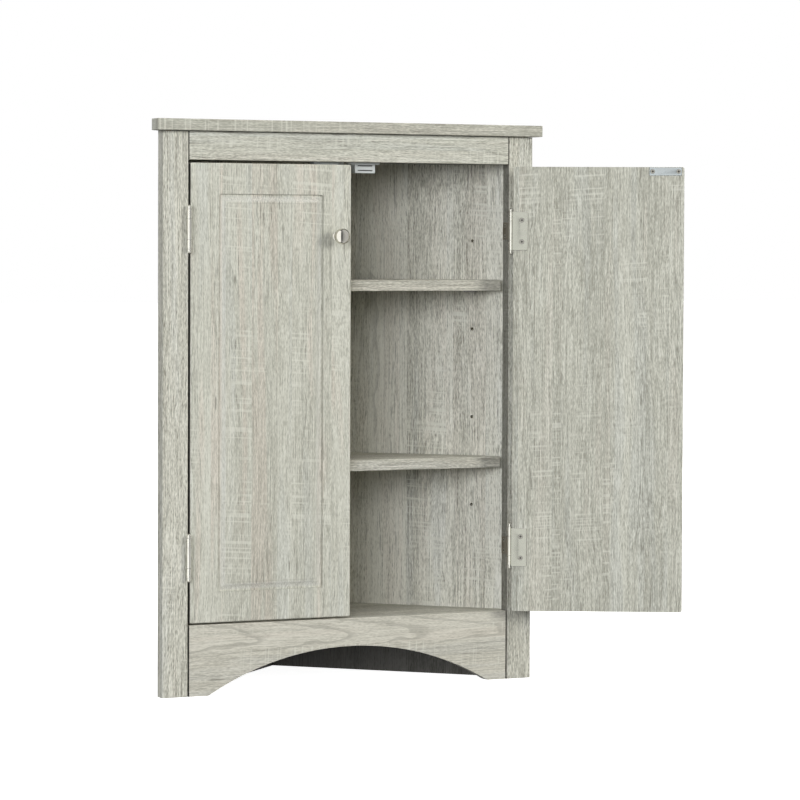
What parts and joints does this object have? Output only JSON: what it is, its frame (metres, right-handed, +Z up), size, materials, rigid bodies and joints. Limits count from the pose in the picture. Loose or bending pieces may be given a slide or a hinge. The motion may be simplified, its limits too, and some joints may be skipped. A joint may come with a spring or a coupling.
{
  "type": "corner cupboard",
  "caption": "Low corner cupboard of triangular plan in washed oak print, with grooved hinged doors, shelves on pins, magnetic catches and an arched apron.",
  "frame": {"origin": "on the floor, at the outer back corner where the two wall panels meet", "axes": "+X to the right seen from the front, -Y out of the front, +Z up"},
  "size_m": [0.7617, 0.4528, 0.8],
  "materials": {
    "oak_print_board": "satin printed foil on particle board",
    "nickel_hardware": "satin nickel plate",
    "catch_plastic": "moulded white",
    "bright_steel": "bright zinc plate",
    "zinc_fitting": "die-cast",
    "ferrite_magnet": "dull sintered",
    "beech_dowel": "bare"
  },
  "bodies": {
    "cabinet": {"apron": "oak_print_board", "base_dowels": "beech_dowel", "bottom_panel": "oak_print_board", "cam_bolts": "zinc_fitting", "cam_discs": "zinc_fitting", "catch_rail": "oak_print_board", "catch_rail_dowels": "beech_dowel", "catch_screws": "nickel_hardware", "corner_dowels": "beech_dowel", "frame_leaf_screws": "nickel_hardware", "front_frame_dowels": "beech_dowel", "left_catch_body": "catch_plastic", "left_catch_magnet": "ferrite_magnet", "left_catch_poles": "bright_steel", "left_lower_frame_leaf": "nickel_hardware", "left_lower_hinge_pin": "nickel_hardware", "left_post": "oak_print_board", "left_upper_frame_leaf": "nickel_hardware", "left_upper_hinge_pin": "nickel_hardware", "left_wall_panel": "oak_print_board", "lower_shelf": "oak_print_board", "lower_shelf_supports": "nickel_hardware", "post_dowels": "beech_dowel", "right_catch_body": "catch_plastic", "right_catch_magnet": "ferrite_magnet", "right_catch_poles": "bright_steel", "right_lower_frame_leaf": "nickel_hardware", "right_lower_hinge_pin": "nickel_hardware", "right_post": "oak_print_board", "right_upper_frame_leaf": "nickel_hardware", "right_upper_hinge_pin": "nickel_hardware", "right_wall_panel": "oak_print_board", "top_dowels": "beech_dowel", "top_panel": "oak_print_board", "top_rail": "oak_print_board", "upper_shelf": "oak_print_board", "upper_shelf_supports": "nickel_hardware"},
    "left_door": {"left_door": "oak_print_board", "left_door_leaf_screws": "nickel_hardware", "left_knob": "nickel_hardware", "left_knob_screw": "nickel_hardware", "left_lower_door_leaf": "nickel_hardware", "left_strike_plate": "bright_steel", "left_strike_screws": "nickel_hardware", "left_upper_door_leaf": "nickel_hardware"},
    "right_door": {"right_door": "oak_print_board", "right_door_leaf_screws": "nickel_hardware", "right_knob": "nickel_hardware", "right_knob_screw": "nickel_hardware", "right_lower_door_leaf": "nickel_hardware", "right_strike_plate": "bright_steel", "right_strike_screws": "nickel_hardware", "right_upper_door_leaf": "nickel_hardware"}
  },
  "joints": [
    {"name": "left_door_hinge", "type": "hinge", "parent": "cabinet", "child": "left_door", "pos_m": [-0.2489, -0.31, 0], "axis": [0, 0, -1], "range_deg": [0, 170]},
    {"name": "right_door_hinge", "type": "hinge", "parent": "cabinet", "child": "right_door", "pos_m": [0.2489, -0.31, 0], "axis": [0, 0, 1], "range_deg": [-152, 18]}
  ]
}
